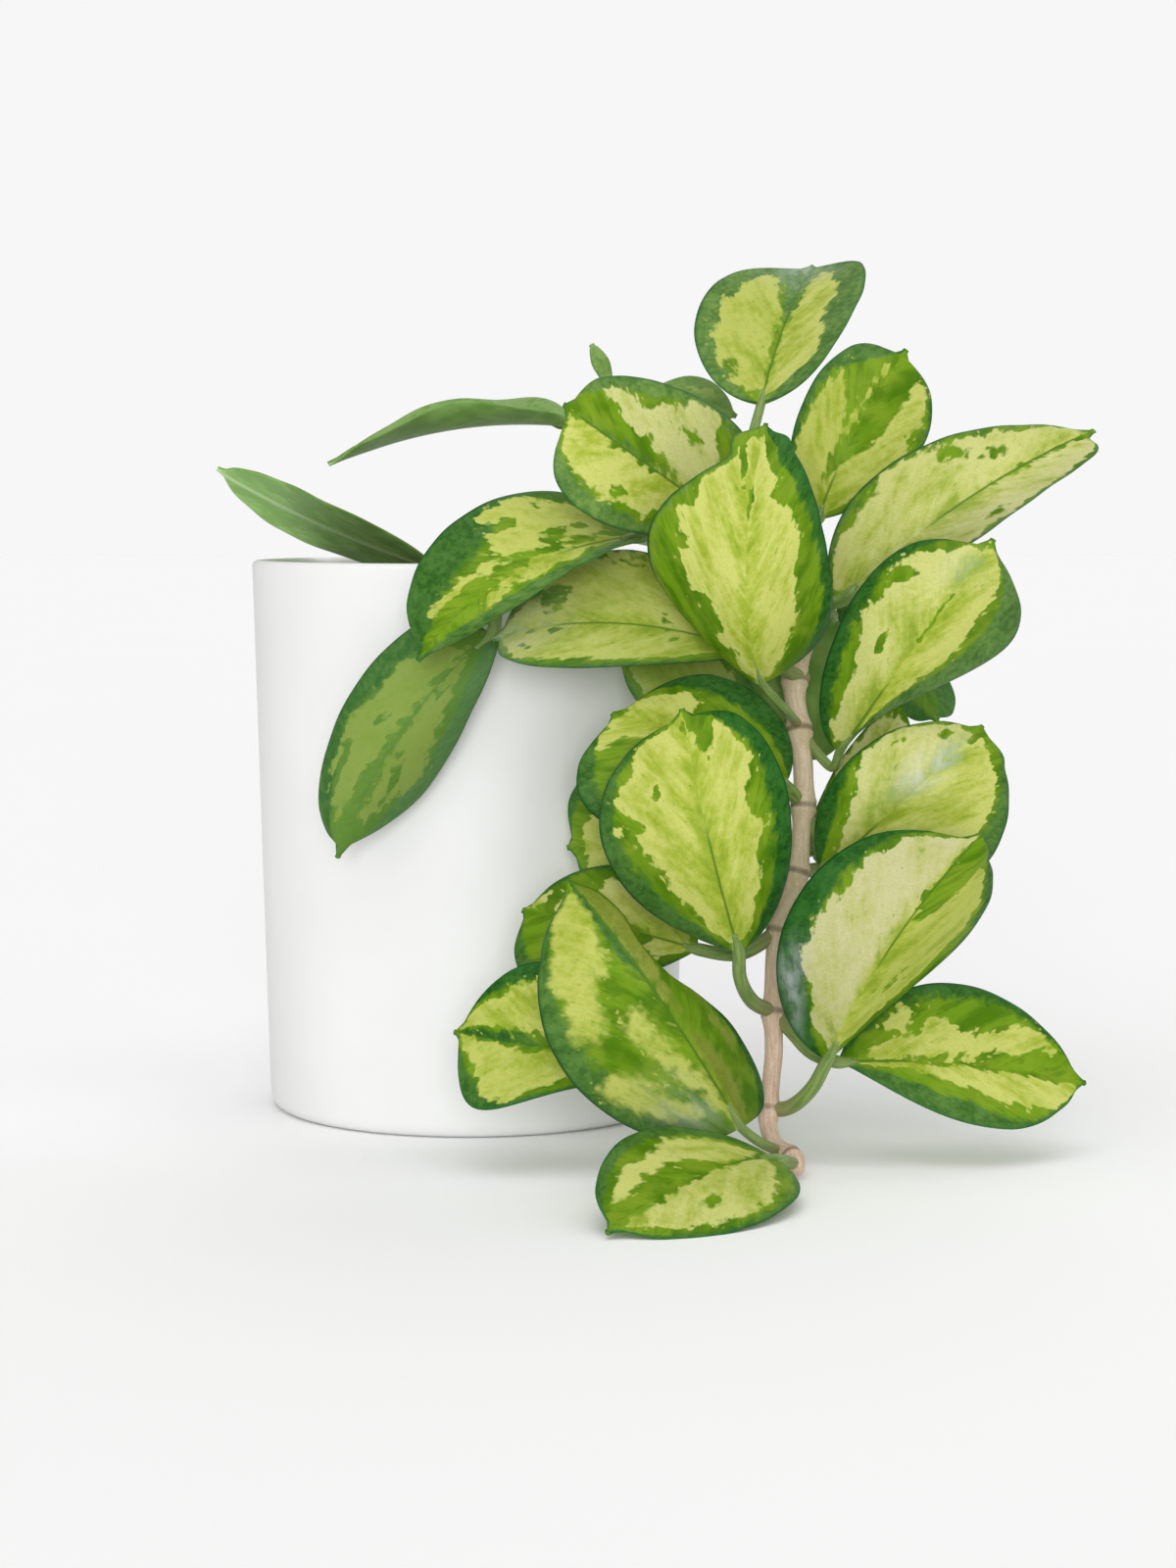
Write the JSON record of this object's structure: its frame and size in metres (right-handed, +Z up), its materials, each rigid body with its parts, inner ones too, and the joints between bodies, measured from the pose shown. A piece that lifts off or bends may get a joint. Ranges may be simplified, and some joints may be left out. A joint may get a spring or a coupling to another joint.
{
  "type": "potted hoya plant",
  "caption": "Trailing hoya in a plain round ceramic pot: thick cream and green oval leaves on a woody vine that hangs over the rim and ends on the surface beside the pot.",
  "frame": {"origin": "centre of the pot's flat base, on the surface the pot stands on", "axes": "+Z up; +X to the right, the side the vine hangs on; +Y away from the viewer of the picture"},
  "size_m": [0.235, 0.2325, 0.2335],
  "materials": {
    "white_ceramic": "satin",
    "potting_soil": "matte",
    "woody_vine": "matte",
    "hoya_leaf": "satin"
  },
  "bodies": {
    "root": {"pot": "white_ceramic", "soil": "potting_soil", "main_vine": "woody_vine", "short_stem": "woody_vine", "upright_stem": "woody_vine", "leaf_top": "hoya_leaf", "leaf_upper_right": "hoya_leaf", "leaf_long_right": "hoya_leaf", "leaf_upper_left": "hoya_leaf", "leaf_arching_left": "hoya_leaf", "leaf_front_centre": "hoya_leaf", "leaf_right": "hoya_leaf", "leaf_right_middle": "hoya_leaf", "leaf_right_lower": "hoya_leaf", "leaf_right_bottom": "hoya_leaf", "leaf_lower_left": "hoya_leaf", "leaf_front_round": "hoya_leaf", "leaf_behind_round": "hoya_leaf", "leaf_behind_left": "hoya_leaf", "leaf_left_middle": "hoya_leaf", "leaf_left_bottom": "hoya_leaf", "leaf_on_surface": "hoya_leaf", "leaf_hanging_left": "hoya_leaf", "leaf_pale_left": "hoya_leaf", "leaf_far_left": "hoya_leaf", "leaf_over_rim": "hoya_leaf", "leaf_back_top": "hoya_leaf", "leaf_behind_stem": "hoya_leaf", "leaf_behind_right": "hoya_leaf", "leaf_behind_pale": "hoya_leaf", "leaf_behind_low": "hoya_leaf", "leaf_back_high": "hoya_leaf", "leaf_back_middle": "hoya_leaf", "leaf_back_low": "hoya_leaf", "leaf_back_rim": "hoya_leaf"}
  },
  "joints": []
}
